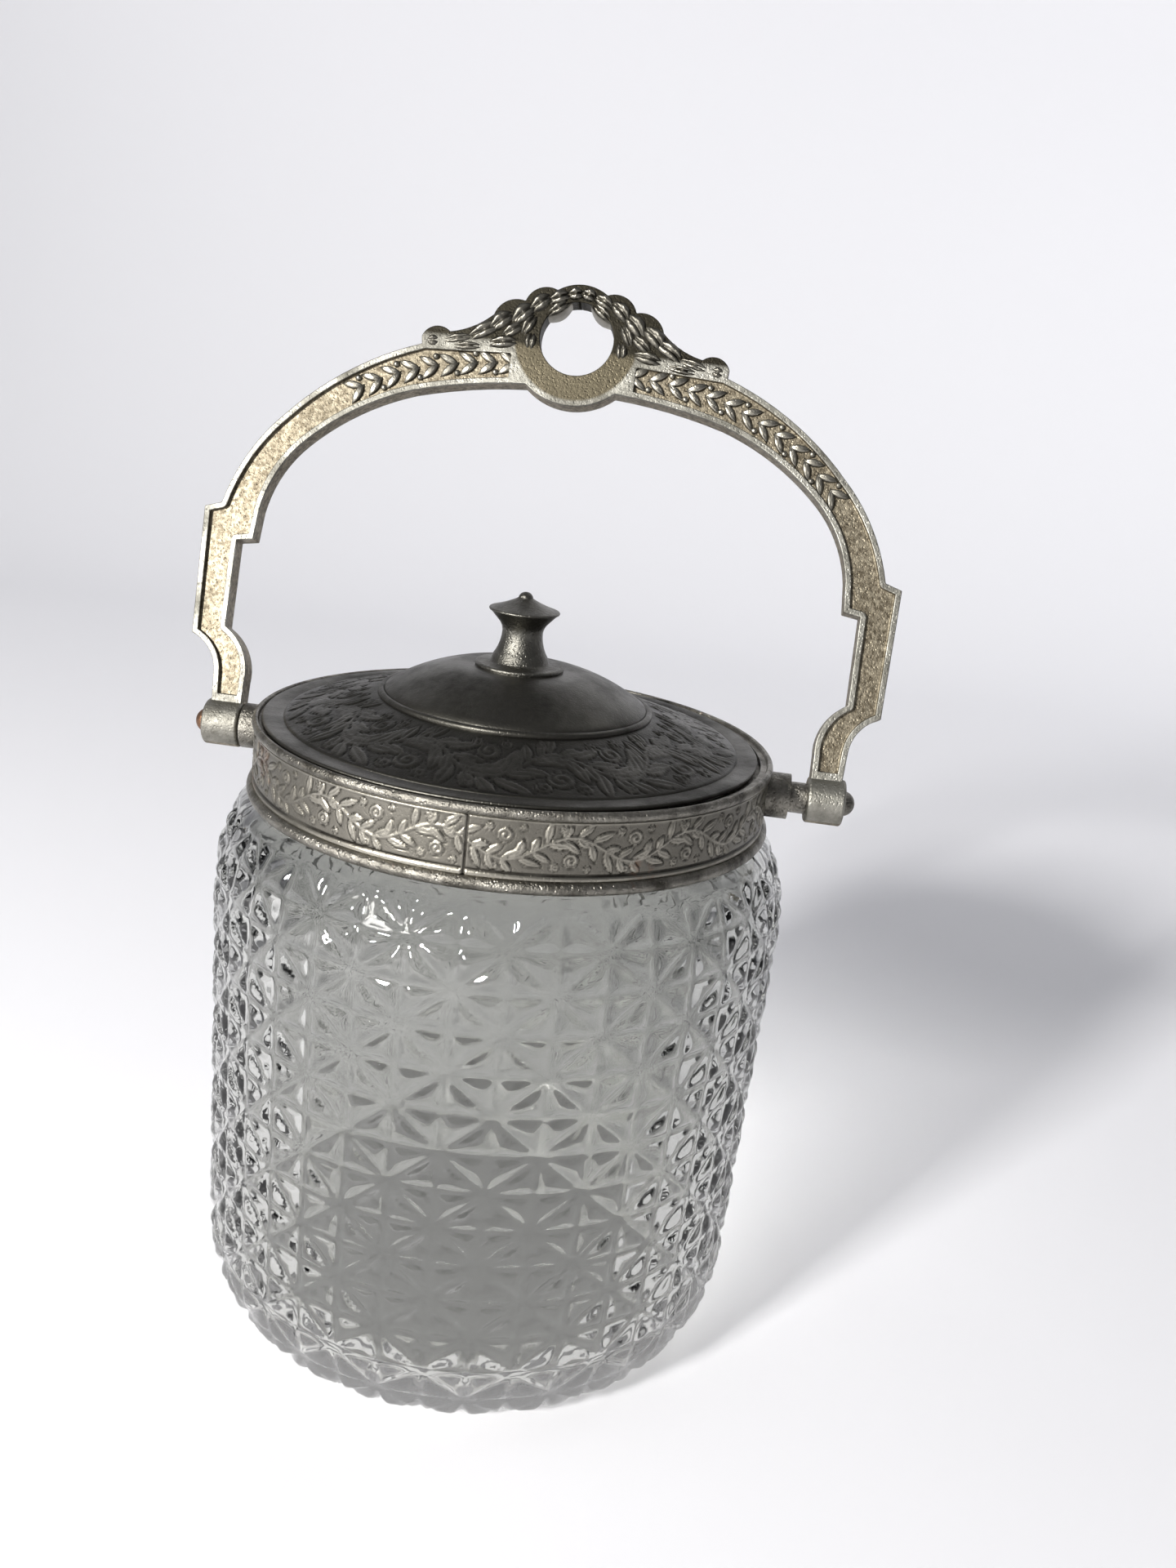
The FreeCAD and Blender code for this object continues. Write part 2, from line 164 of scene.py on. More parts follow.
# Lights, with powers in watts, and the pale surroundings
key_place = (-0.62, -0.91, 0.57)
key_aim = (0, 0, 0.10)
key_size = 0.15
key_colour = (1.0, 0.985, 0.96)
key_power = 15.0
key_through_glass_power = 10.0
wash_size = 0.5
wash_spread = math.radians(110)
left_wash_power = 1.9
right_wash_power = 4.2
sweep_colour = (0.90, 0.90, 0.93, 1)
world_colour = (0.92, 0.94, 1.0, 1)
world_strength = 0.16
seen_world_strength = 0.85


# Mesh helpers

def quarter_ellipse(start, end, count, level_at_end):
    """Points from start to end on a quarter ellipse, level at one of its ends and upright at the other."""
    points = []
    for k in range(count + 1):
        angle = math.pi / 2 * k / count
        if level_at_end:
            radius = end[0] + (start[0] - end[0]) * math.cos(angle)
            height = start[1] + (end[1] - start[1]) * math.sin(angle)
        else:
            radius = start[0] + (end[0] - start[0]) * math.sin(angle)
            height = end[1] + (start[1] - end[1]) * math.cos(angle)
        points.append((radius, height))
    return points


def arc_points(start, middle, end, count):
    """Points on the circle through three points."""
    ax, ay = start
    bx, by = middle
    cx, cy = end
    divisor = 2 * (ax * (by - cy) + bx * (cy - ay) + cx * (ay - by))
    a_square = ax * ax + ay * ay
    b_square = bx * bx + by * by
    c_square = cx * cx + cy * cy
    centre_x = (a_square * (by - cy) + b_square * (cy - ay) + c_square * (ay - by)) / divisor
    centre_y = (a_square * (cx - bx) + b_square * (ax - cx) + c_square * (bx - ax)) / divisor
    radius = math.hypot(ax - centre_x, ay - centre_y)
    first = math.atan2(ay - centre_y, ax - centre_x)
    last = math.atan2(cy - centre_y, cx - centre_x)
    sweep = (last - first) % turn
    clockwise = (bx - ax) * (cy - ay) - (by - ay) * (cx - ax) < 0
    if clockwise:
        sweep -= turn
    angles = [first + sweep * k / count for k in range(count + 1)]
    return [(centre_x + radius * math.cos(angle), centre_y + radius * math.sin(angle)) for angle in angles]


def spaced(points, step):
    """The same line with points at even steps, and the distance of each along it."""
    lengths = [0.0]
    for a, b in zip(points, points[1:]):
        lengths.append(lengths[-1] + math.dist(a, b))
    count = max(2, round(lengths[-1] / step))
    result = []
    k = 0
    for i in range(count + 1):
        target = lengths[-1] * i / count
        while k < len(lengths) - 2 and lengths[k + 1] < target:
            k += 1
        part = (target - lengths[k]) / max(lengths[k + 1] - lengths[k], 1e-12)
        a, b = points[k], points[k + 1]
        result.append((a[0] + (b[0] - a[0]) * part, a[1] + (b[1] - a[1]) * part, target))
    return result


def spin_profile(profile, steps, marks=None):
    """A closed profile of radius and height, turned round Z; marks go to the layer called along."""
    bm = bmesh.new()
    layer = bm.verts.layers.float.new("along")
    verts = []
    for k, (radius, height) in enumerate(profile):
        vert = bm.verts.new((radius, 0, height))
        vert[layer] = marks[k] if marks else unmarked
        verts.append(vert)
    edges = [bm.edges.new(pair) for pair in zip(verts, verts[1:] + verts[:1])]
    # One sector is spun and then copied round, which is much quicker than a full spin
    sectors = math.gcd(steps, most_sectors)
    bmesh.ops.spin(bm, geom=verts + edges, cent=(0, 0, 0), axis=(0, 0, 1), angle=turn / sectors,
                   steps=steps // sectors)
    sector = bm.verts[:] + bm.edges[:] + bm.faces[:]
    for k in range(1, sectors):
        copied = bmesh.ops.duplicate(bm, geom=sector)["geom"]
        moved = [vert for vert in copied if isinstance(vert, bmesh.types.BMVert)]
        rotation = Matrix.Rotation(turn * k / sectors, 3, "Z")
        bmesh.ops.rotate(bm, verts=moved, cent=(0, 0, 0), matrix=rotation)
    bmesh.ops.remove_doubles(bm, verts=bm.verts, dist=merge_distance)
    bmesh.ops.recalc_face_normals(bm, faces=bm.faces)
    return bm


def finish_mesh(bm, name, material, body, replaced=(), sharp_angle=40):
    """Make the object, smooth with sharp corners kept, and tie it to its body."""
    for face in bm.faces:
        face.smooth = True
    limit = math.radians(sharp_angle)
    for edge in bm.edges:
        if len(edge.link_faces) == 2 and edge.calc_face_angle(0) > limit:
            edge.smooth = False
    mesh = bpy.data.meshes.new(name)
    bm.to_mesh(mesh)
    bm.free()
    mesh.materials.append(material)
    piece = bpy.data.objects.new(name, mesh)
    bpy.context.scene.collection.objects.link(piece)
    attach(piece, body)
    if replaced:
        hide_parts(*replaced)
    return piece


def on_bail(point):
    """From the bail's own upright plane to its place on the jar."""
    u, w, v = point
    y = w * math.cos(bail_lean) + v * math.sin(bail_lean)
    z = -w * math.sin(bail_lean) + v * math.cos(bail_lean)
    return Vector((u + bail_shift, y, z + pivot_height))


# Relief motifs: height at a place (s, t) of the unrolled strip, -1 in a cut line, 0 on the field, 1 on a leaf
cut_depth = 0.8
stem_sway = 0.24
stem_half_width = 0.035


def leaf_height(s, t, leaf):
    """A pointed leaf with a cut midrib and a cut outline: middle, heading, length and width."""
    s0, t0, heading, length, width = leaf
    x = (s - s0) * math.cos(heading) + (t - t0) * math.sin(heading)
    y = -(s - s0) * math.sin(heading) + (t - t0) * math.cos(heading)
    reach = abs(2 * x / length)
    if reach >= 1.12:
        return 0.0
    half = width / 2 * max(0.06, 1 - reach ** 1.9)
    across = abs(y) / half
    if across >= 1 or reach >= 1:
        gap = max(abs(y) - half, (reach - 1) * length / 2) / (0.22 * width)
        return -cut_depth * (1 - gap) if gap < 1 else 0.0
    rib = 0.8 * math.exp(-(y / (0.11 * width)) ** 2)
    return 1 - across ** 4 - rib


def rose_height(s, t, rose):
    """A round flower of turned petals inside a cut ring: middle and radius."""
    s0, t0, radius = rose
    x, y = s - s0, t - t0
    reach = math.hypot(x, y) / radius
    ring = 1.2
    if reach >= ring:
        return 0.0
    if reach >= 1:
        return -cut_depth * (ring - reach) / (ring - 1)
    coil = math.cos(math.atan2(y, x) - 10 * reach)
    return 0.35 + 0.65 * coil * (1 - reach ** 6)


def vine_motif(period, height, pairs):
    """Leaf pairs along a waving stem, a large rose in each bend and small ones between."""
    leaves, roses = [], []
    for k in range(pairs):
        s = period * (k + 0.5) / pairs
        phase = turn * s / period
        middle = height * (0.5 + stem_sway * math.sin(phase))
        heading = math.atan(stem_sway * height * turn / period * math.cos(phase))
        for side in (-1, 1):
            angle = heading + side * math.radians(42 + 12 * math.sin(2.7 * k + side))
            length = height * (0.40 + 0.09 * math.cos(1.9 * k + side))
            leaves.append((s + 0.55 * length * math.cos(angle), middle + 0.55 * length * math.sin(angle),
                           angle, length, 0.155 * height))
    # Shift along the strip in periods, rise towards the bend and radius in strip heights
    sizes = ((0.0, -0.22, 0.145), (-0.07, 0.40, 0.08), (0.13, -0.38, 0.075), (-0.12, -0.36, 0.085))
    for place, bend in ((0.25, 1), (0.75, -1)):
        for shift, rise, radius in sizes:
            roses.append((period * (place + shift), height * (0.5 + rise * bend), radius * height))
    return leaves, roses


def vine_height(s, t, period, height, motif):
    """The highest of the stem, the roses and the leaves at a place, with the strip repeated end to end."""
    leaves, roses = motif
    stem = height * (0.5 + stem_sway * math.sin(turn * s / period))
    across = abs(t - stem) / (stem_half_width * height)
    best = 0.7 * (1 - across ** 2) if across < 1 else 0.0
    for shift in (-period, 0, period):
        for s0, t0, radius in roses:
            if best <= 0 and abs(s + shift - s0) < 1.2 * radius and abs(t - t0) < 1.2 * radius:
                raised = rose_height(s + shift, t, (s0, t0, radius))
                best = raised if raised else best
    if best > 0:
        return best
    for shift in (-period, 0, period):
        for leaf in leaves:
            if abs(s + shift - leaf[0]) < 0.6 * leaf[3] and abs(t - leaf[1]) < 0.6 * leaf[3]:
                raised = leaf_height(s + shift, t, leaf)
                if raised > 0 or (raised < 0 and best == 0):
                    best = max(best, raised) if raised > 0 and best > 0 else raised
    return best


# Shared shader effects

def new_group(name, inputs, outputs):
    group = bpy.data.node_groups.new(name, "ShaderNodeTree")
    for label, kind, value in inputs:
        socket = group.interface.new_socket(name=label, in_out="INPUT", socket_type=kind)
        socket.default_value = value
    for label, kind in outputs:
        group.interface.new_socket(name=label, in_out="OUTPUT", socket_type=kind)
    return group, group.nodes.new("NodeGroupInput"), group.nodes.new("NodeGroupOutput")


def make_tarnish_group():
    """A cloudy mask of tarnish, with fine specks in it."""
    inputs = [("Scale", "NodeSocketFloat", 60.0), ("Low", "NodeSocketFloat", 0.4),
              ("High", "NodeSocketFloat", 0.65)]
    group, given, result = new_group("tarnish", inputs, [("Mask", "NodeSocketFloat")])
    link = group.links.new
    place = group.nodes.new("ShaderNodeTexCoord")
    cloud = group.nodes.new("ShaderNodeTexNoise")
    cloud.inputs["Detail"].default_value = 7
    cloud.inputs["Roughness"].default_value = 0.68
    link(place.outputs["Object"], cloud.inputs["Vector"])
    link(given.outputs["Scale"], cloud.inputs["Scale"])
    spread = group.nodes.new("ShaderNodeMapRange")
    link(cloud.outputs["Fac"], spread.inputs["Value"])
    link(given.outputs["Low"], spread.inputs["From Min"])
    link(given.outputs["High"], spread.inputs["From Max"])
    link(spread.outputs["Result"], result.inputs["Mask"])
    return group


def make_pit_group():
    """Small pits and scratches as a height."""
    inputs = [("Scale", "NodeSocketFloat", 900.0)]
    group, given, result = new_group("pits", inputs, [("Height", "NodeSocketFloat")])
    link = group.links.new
    place = group.nodes.new("ShaderNodeTexCoord")
    grain = group.nodes.new("ShaderNodeTexNoise")
    grain.inputs["Detail"].default_value = 4
    grain.inputs["Roughness"].default_value = 0.7
    link(place.outputs["Object"], grain.inputs["Vector"])
    link(given.outputs["Scale"], grain.inputs["Scale"])
    cells = group.nodes.new("ShaderNodeTexVoronoi")
    link(place.outputs["Object"], cells.inputs["Vector"])
    link(given.outputs["Scale"], cells.inputs["Scale"])
    dent = group.nodes.new("ShaderNodeMapRange")
    dent.inputs["From Min"].default_value = 0.0
    dent.inputs["From Max"].default_value = 0.35
    link(cells.outputs["Distance"], dent.inputs["Value"])
    both = group.nodes.new("ShaderNodeMath")
    both.operation = "MULTIPLY_ADD"
    link(dent.outputs["Result"], both.inputs[0])
    both.inputs[1].default_value = 0.5
    link(grain.outputs["Fac"], both.inputs[2])
    link(both.outputs["Value"], result.inputs["Height"])
    return group


tarnish_group = make_tarnish_group()
pit_group = make_pit_group()


class Shader:
    """A material under construction: short ways to add and join nodes."""

    def __init__(self, name):
        self.material = bpy.data.materials.new(name)
        self.material.use_nodes = True
        self.tree = self.material.node_tree
        self.surface = self.tree.nodes["Principled BSDF"]

    def node(self, kind, **values):
        made = self.tree.nodes.new(kind)
        for key, value in values.items():
            setattr(made, key, value)
        return made

    def link(self, source, target):
        self.tree.links.new(source, target)

    def group(self, group, **values):
        made = self.node("ShaderNodeGroup")
        made.node_tree = group
        for key, value in values.items():
            made.inputs[key].default_value = value
        return made

    def mix(self, mask, low, high):
        """Colour or socket low where the mask is 0, and high where it is 1."""
        made = self.node("ShaderNodeMix", data_type="RGBA")
        self.link(mask, made.inputs["Factor"])
        for value, target in ((low, made.inputs[6]), (high, made.inputs[7])):
            if isinstance(value, tuple):
                target.default_value = (*value, 1)
            else:
                self.link(value, target)
        return made.outputs[2]

    def span(self, value, low, high):
        """The value 0 to 1 spread from low to high."""
        made = self.node("ShaderNodeMapRange")
        self.link(value, made.inputs["Value"])
        made.inputs["To Min"].default_value = low
        made.inputs["To Max"].default_value = high
        return made.outputs["Result"]

    def ramp(self, value, start, end):
        """0 where the value is start, and 1 where it is end."""
        made = self.node("ShaderNodeMapRange")
        self.link(value, made.inputs["Value"])
        made.inputs["From Min"].default_value = start
        made.inputs["From Max"].default_value = end
        return made.outputs["Result"]

    def bump(self, height, distance, strength):
        made = self.node("ShaderNodeBump")
        made.inputs["Distance"].default_value = distance
        made.inputs["Strength"].default_value = strength
        self.link(height, made.inputs["Height"])
        self.link(made.outputs["Normal"], self.surface.inputs["Normal"])

    def tarnish(self, scale, low, high):
        """The mask of the tarnish group."""
        return self.group(tarnish_group, Scale=scale, Low=low, High=high).outputs["Mask"]

    def pits(self, scale, depth, strength):
        """A bump from the group of pits."""
        self.bump(self.group(pit_group, Scale=scale).outputs["Height"], depth, strength)

    def metal(self, colour, roughness):
        self.link(colour, self.surface.inputs["Base Color"])
        self.link(roughness, self.surface.inputs["Roughness"])
        self.surface.inputs["Metallic"].default_value = 1.0


def glass_material():
    """Glass with a faint ripple, tinted grey as painted shade that darkens it all over."""
    shader = Shader("pressed_glass")
    surface = shader.surface
    # Painted shade: the grey base colour darkens everything seen through the glass.
    surface.inputs["Base Color"].default_value = (0.62, 0.625, 0.60, 1)
    surface.inputs["Transmission Weight"].default_value = 1.0
    surface.inputs["Metallic"].default_value = 0.0
    surface.inputs["Roughness"].default_value = 0.03
    surface.inputs["IOR"].default_value = 1.5
    ripple = shader.node("ShaderNodeTexNoise")
    place = shader.node("ShaderNodeTexCoord")
    shader.link(place.outputs["Object"], ripple.inputs["Vector"])
    ripple.inputs["Scale"].default_value = 160
    ripple.inputs["Detail"].default_value = 2
    shader.bump(ripple.outputs["Fac"], 0.2 * mm, 0.3)
    return shader.material


def relief_silver(name, bright, hollow_shade, copper_low, roughness):
    """Plate over a pressed pattern: painted shade, darkest in the hollows and cut lines and lifting to the
    plate's colour on the raised tops; copper where it is worn.
    """
    shader = Shader(name)
    relief = shader.node("ShaderNodeAttribute", attribute_name="relief")
    # Painted shade: the relief layer darkens the hollows and cut lines towards the shade colour, and the
    # raised tops keep the plate's colour.
    shaded_relief = shader.mix(shader.ramp(relief.outputs["Fac"], 0.2, 0.85), hollow_shade, bright)
    cloud = shader.tarnish(45.0, 0.42, 0.66)
    dulled = shader.mix(cloud, shaded_relief, tuple(0.4 * part for part in bright))
    worn = shader.tarnish(28.0, copper_low, copper_low + 0.08)
    colour = shader.mix(worn, dulled, (0.20, 0.115, 0.075))
    shader.metal(colour, shader.span(cloud, roughness, roughness + 0.22))
    shader.pits(1500.0, 0.12 * mm, 0.6)
    return shader.material


def plain_silver(name, bright, dull, scale, roughness, pit_scale, pit_depth, copper_low):
    """Plate on a smooth piece: clouded with tarnish, pitted, with a little copper showing."""
    shader = Shader(name)
    cloud = shader.tarnish(scale, 0.38, 0.66)
    base = shader.mix(cloud, bright, dull)
    worn = shader.tarnish(scale * 0.6, copper_low, copper_low + 0.06)
    colour = shader.mix(worn, base, (0.18, 0.11, 0.075))
    shader.metal(colour, shader.span(cloud, roughness, roughness + 0.2))
    shader.pits(pit_scale, pit_depth, 0.8)
    return shader.material


def ring_channel(shader, parts):
    """A mask of the channel between the two borders of the bail's ring."""
    flat = shader.node("ShaderNodeCombineXYZ")
    shader.link(parts.outputs["X"], flat.inputs["X"])
    shader.link(parts.outputs["Z"], flat.inputs["Z"])
    reach = shader.node("ShaderNodeVectorMath", operation="DISTANCE")
    shader.link(flat.outputs["Vector"], reach.inputs[0])
    reach.inputs[1].default_value = (0, 0, ring_height)
    return shader.ramp(reach.outputs["Value"], *ring_channel_edge)


def cast_silver():
    """The bail: rubbed borders, stippled and warmer sunk panels, and painted shade under the crest."""
    shader = Shader("cast_silver")
    place = shader.node("ShaderNodeTexCoord")
    level = shader.node("ShaderNodeMapping", vector_type="TEXTURE")
    level.inputs["Location"].default_value = (bail_shift, 0, pivot_height)
    level.inputs["Rotation"].default_value = (-bail_lean, 0, 0)
    shader.link(place.outputs["Object"], level.inputs["Vector"])
    parts = shader.node("ShaderNodeSeparateXYZ")
    shader.link(level.outputs["Vector"], parts.inputs["Vector"])
    depth = shader.node("ShaderNodeMath", operation="ABSOLUTE")
    shader.link(parts.outputs["Y"], depth.inputs[0])
    raised = shader.ramp(depth.outputs["Value"], bail_half_thickness - 0.75 * panel_depth,
                         bail_half_thickness - 0.25 * panel_depth)
    cloud = shader.tarnish(90.0, 0.42, 0.68)
    ground = shader.mix(shader.tarnish(900.0, 0.35, 0.6), (0.34, 0.30, 0.225), (0.12, 0.10, 0.07))
    border = shader.mix(cloud, (0.36, 0.35, 0.31), (0.12, 0.114, 0.096))
    arch = shader.mix(raised, ground, border)
    body = shader.mix(ring_channel(shader, parts), arch, (0.11, 0.095, 0.065))
    # Painted shade: above the crest line the bail is darkened nearly to black, where the crest leaves cover
    # it.
    crest = shader.ramp(parts.outputs["Z"], *crest_shade_start)
    shader.metal(shader.mix(crest, body, (0.03, 0.027, 0.02)), shader.span(cloud, 0.44, 0.6))
    shader.pits(1300.0, 0.18 * mm, 0.8)
    return shader.material


def plain_material(name, colour, roughness, metallic):
    """One colour, clouded with a darker shade of itself."""
    shader = Shader(name)
    darker = tuple(0.6 * part for part in colour)
    clouded = shader.mix(shader.tarnish(150.0, 0.3, 0.7), colour, darker)
    shader.link(clouded, shader.surface.inputs["Base Color"])
    shader.surface.inputs["Roughness"].default_value = roughness
    shader.surface.inputs["Metallic"].default_value = metallic
    shader.pits(800.0, 0.1 * mm, 0.4)
    return shader.material


glass = glass_material()
# The hollow shade colour of each relief plate is painted shade for its hollows and cut lines.
band_silver = relief_silver("band_silver", bright=(0.37, 0.35, 0.30), hollow_shade=(0.025, 0.022, 0.018),
                            copper_low=0.60, roughness=0.33)
lid_relief_silver = relief_silver("lid_engraved_silver", bright=(0.10, 0.096, 0.084),
                                  hollow_shade=(0.02, 0.019, 0.016), copper_low=0.76, roughness=0.36)
vine_silver = relief_silver("vine_silver", bright=(0.36, 0.34, 0.29), hollow_shade=(0.02, 0.018, 0.013),
                            copper_low=0.70, roughness=0.32)
rim_silver = plain_silver("rim_silver", bright=(0.30, 0.285, 0.25), dull=(0.07, 0.065, 0.055), scale=160.0,
                          roughness=0.30, pit_scale=1100.0, pit_depth=0.4 * mm, copper_low=0.64)
lid_silver = plain_silver("lid_silver", bright=(0.18, 0.175, 0.155), dull=(0.07, 0.066, 0.057), scale=70.0,
                          roughness=0.30, pit_scale=1200.0, pit_depth=0.22 * mm, copper_low=0.76)
copper = plain_silver("copper_worn", bright=(0.30, 0.17, 0.10), dull=(0.14, 0.08, 0.05), scale=200.0,
                      roughness=0.35, pit_scale=1200.0, pit_depth=0.2 * mm, copper_low=0.6)
bail_silver = cast_silver()
cement = plain_material("cement", (0.70, 0.66, 0.58), roughness=0.9, metallic=0.0)
brass = plain_material("dull_brass", (0.55, 0.42, 0.20), roughness=0.4, metallic=1.0)


# Glass jar

def glass_outline():
    """The outside from the foot to the mouth, then the inside down to the floor and the flat foot."""
    outside_steps = 40
    inside_steps = 8
    heel_top = (glass_heel_radius, glass_heel_height)
    heel = quarter_ellipse((glass_foot_radius, 0), heel_top, outside_steps, level_at_end=False)
    shoulder_start = (glass_max_radius, glass_shoulder_start)
    shoulder_end = (glass_neck_radius, glass_neck_start)
    shoulder = quarter_ellipse(shoulder_start, shoulder_end, outside_steps, level_at_end=True)
    outside = spaced(heel + shoulder, star_row / 10)
    neck = [
        (glass_neck_radius, glass_mouth_height - 1 * mm),
        (glass_neck_radius - 0.8 * mm, glass_mouth_height),
        (glass_mouth_radius + 0.8 * mm, glass_mouth_height),
        (glass_mouth_radius, glass_mouth_height - 1 * mm),
    ]
    inner_neck = (glass_mouth_radius, glass_neck_start - 2 * mm)
    inner_top = (glass_max_radius - glass_wall, glass_shoulder_start)
    inner_low = (glass_heel_radius - glass_wall, glass_heel_height + 2 * mm)
    inner_foot = (glass_foot_radius - glass_wall, glass_floor)
    inner_shoulder = quarter_ellipse(inner_neck, inner_top, inside_steps, level_at_end=False)
    inner_heel = quarter_ellipse(inner_low, inner_foot, inside_steps, level_at_end=True)
    floor = [(inner_foot[0] / 2, glass_floor), (0, glass_floor), (0, 0)]
    inside = neck + inner_shoulder + inner_heel + floor
    profile = [(radius, height) for radius, height, along in outside] + inside
    marks = [along for radius, height, along in outside] + [unmarked] * len(inside)
    return profile, marks


def star_groove(angle, along):
    """How deep the groove is at a place: stars with eight rays, in rows shifted by half a star."""
    u = (angle + math.pi / 2) * stars_round / math.pi
    v = (along - star_row_start) / star_row
    level = abs(v - round(v)) * star_row
    upright = abs(u - round(u)) * star_half_width
    slope = star_half_width * star_row / math.hypot(star_half_width, star_row)
    rising = abs((u - v) - 2 * round((u - v) / 2)) * slope
    falling = abs((u + v) - 2 * round((u + v) / 2)) * slope
    nearest = min(level, upright, rising, falling)
    reach = min(1.0, max(0.0, nearest - groove_floor) / (facet_reach - groove_floor))
    return (1 - reach) ** 2


def make_glass():
    """The turned body with the stars pressed into its outside, which fade out at the foot and the neck."""
    profile, marks = glass_outline()
    bm = spin_profile(profile, stars_round * 2 * columns_per_half_star, marks)
    bm.normal_update()
    layer = bm.verts.layers.float["along"]
    moves = []
    for vert in bm.verts:
        along = vert[layer]
        if along < 0 or vert.co.z < merge_distance:
            continue
        fade_in = min(1.0, along / foot_fade)
        fade_out = min(1.0, max(0.0, (pattern_top - along) / neck_fade))
        if fade_in * fade_out > 0:
            groove = star_groove(math.atan2(vert.co.y, vert.co.x), along)
            moves.append((vert, vert.normal * (groove_depth * fade_in * fade_out * groove)))
    for vert, move in moves:
        vert.co -= move
    finish_mesh(bm, "glass_body", glass, "jar", ("glass_jar",), sharp_angle=180)


# Collar

def turned_piece(name, profile, material, body, replaced, steps=turned_steps, shift=0.0,
                 sharp_angle=40):
    """A plain turned piece, with its axis moved along X by shift."""
    bm = spin_profile(profile, steps)
    bmesh.ops.translate(bm, verts=bm.verts, vec=(shift, 0, 0))
    finish_mesh(bm, name, material, body, replaced, sharp_angle)


def make_band():
    """The pressed band: a vine with roses between two plain edges, with one upright seam."""
    rows = 42
    columns = 96
    sheet = band_radius - band_sheet
    low, high = band_bottom + band_plain_low, band_top - band_plain_high
    outer = [(band_radius, band_bottom + (band_top - band_bottom) * k / rows) for k in range(rows + 1)]
    profile = [(sheet, band_bottom)] + outer + [(sheet, band_top)]
    marks = [unmarked] + [z for radius, z in outer] + [unmarked]
    bm = spin_profile(profile, band_repeats * columns, marks)
    layer = bm.verts.layers.float["along"]
    relief = bm.verts.layers.float.new("relief")
    period = turn * band_radius / band_repeats
    motif = vine_motif(period, high - low, 9)
    known = {}
    for vert in bm.verts:
        z = vert[layer]
        if z < 0:
            continue
        angle = math.atan2(vert.co.y, vert.co.x)
        column = round((angle + math.pi) * band_repeats * columns / turn) % columns
        key = (column, round(z / (0.01 * mm)))
        if key not in known:
            known[key] = vine_height(period * column / columns, z - low, period, high - low, motif)
        height = known[key] if low < z < high else 0.6
        if low - band_cut_line < z <= low:
            height = -cut_depth
        seam = abs((angle - seam_angle + math.pi) % turn - math.pi) * band_radius
        if seam < seam_half_width:
            height = 0.3 if seam > seam_groove else -cut_depth
        # The relief layer feeds the painted shade of band_silver: cut lines and the seam groove dark, leaves
        # and plain edges light.
        vert[relief] = 0.5 + 0.5 * height
        scale = (band_radius + band_relief * height) / math.hypot(vert.co.x, vert.co.y)
        vert.co.x *= scale
        vert.co.y *= scale
    finish_mesh(bm, "embossed_band", band_silver, "jar", ("collar_band",), sharp_angle=180)


def make_collar_mouldings():
    """The rolled rim above the band and the round bead below it."""
    inner = band_radius - band_sheet
    rim = arc_points((band_radius, band_top), (rim_radius, band_top + 1 * mm), (band_radius, rim_top), 12)
    rim += [(inner + 0.25 * mm, rim_top - 0.12 * mm), (inner, rim_top - 0.5 * mm), (inner, band_top)]
    turned_piece("rolled_rim", rim, rim_silver, "jar", ("collar_top_rim",))
    bead_start, bead_end = (band_radius, band_bottom), (bead_foot_radius, bead_foot)
    bead = arc_points(bead_start, (bead_radius, bead_middle), bead_end, 12)
    bead += [(inner, bead_foot + 0.5 * mm), (inner, band_bottom)]
    turned_piece("foot_bead", bead, rim_silver, "jar", ("collar_foot_bead",))


# Lid

def lid_outline():
    """The top from the stud hole to the edge, with the engraved slope marked, then the underside back."""
    dome_middle = ((dome_base_radius + dome_top_radius) / 2 + 0.4 * mm,
                   (dome_base_height + dome_top_height) / 2 + 0.5 * mm)
    dome_end = (dome_base_radius, dome_base_height)
    dome = arc_points((dome_top_radius, dome_top_height - 0.15 * mm), dome_middle, dome_end, 10)
    top = [(stud_radius, dome_top_height), (dome_top_radius - 1.2 * mm, dome_top_height)] + dome
    bead = arc_points((dome_base_radius + 0.2 * mm, dome_base_height - 0.45 * mm),
                      (dome_base_radius + 0.9 * mm, dome_base_height - 0.2 * mm),
                      (ridge_radius + 0.3 * mm, ridge_height - 0.1 * mm), 6)
    slope_rows = 40
    slope_start = Vector((ridge_radius + 0.6 * mm, ridge_height - 0.1 * mm))
    slope_end = Vector((lid_border_inner, lid_border_top + 0.15 * mm))
    slope = [tuple(slope_start.lerp(slope_end, k / slope_rows)) for k in range(slope_rows + 1)]
    border = [
        (lid_border_inner + 0.15 * mm, lid_border_top - 0.12 * mm),
        (lid_border_inner + 0.35 * mm, lid_border_top - 0.12 * mm),
        (lid_border_inner + 0.5 * mm, lid_border_top),
    ]
    edge = arc_points((lid_radius - 0.45 * mm, lid_border_top), (lid_radius, lid_border_top - 0.45 * mm),
                      (lid_radius - 0.45 * mm, lid_underside), 8)
    under = [
        (lid_border_inner, lid_underside),
        (ridge_radius - 0.6 * mm, ridge_height - lid_sheet),
        (dome_base_radius - 0.5 * mm, dome_base_height - lid_sheet - 0.2 * mm),
        (dome_middle[0] - 0.3 * mm, dome_middle[1] - lid_sheet),
        (dome_top_radius, dome_top_height - lid_sheet),
        (stud_radius, dome_top_height - lid_sheet),
    ]
    before, after = top + bead, border + edge + under
    marks = [unmarked] * len(before) + [radius for radius, height in slope] + [unmarked] * len(after)
    return before + slope + after, marks, slope_start[0], slope_end[0]


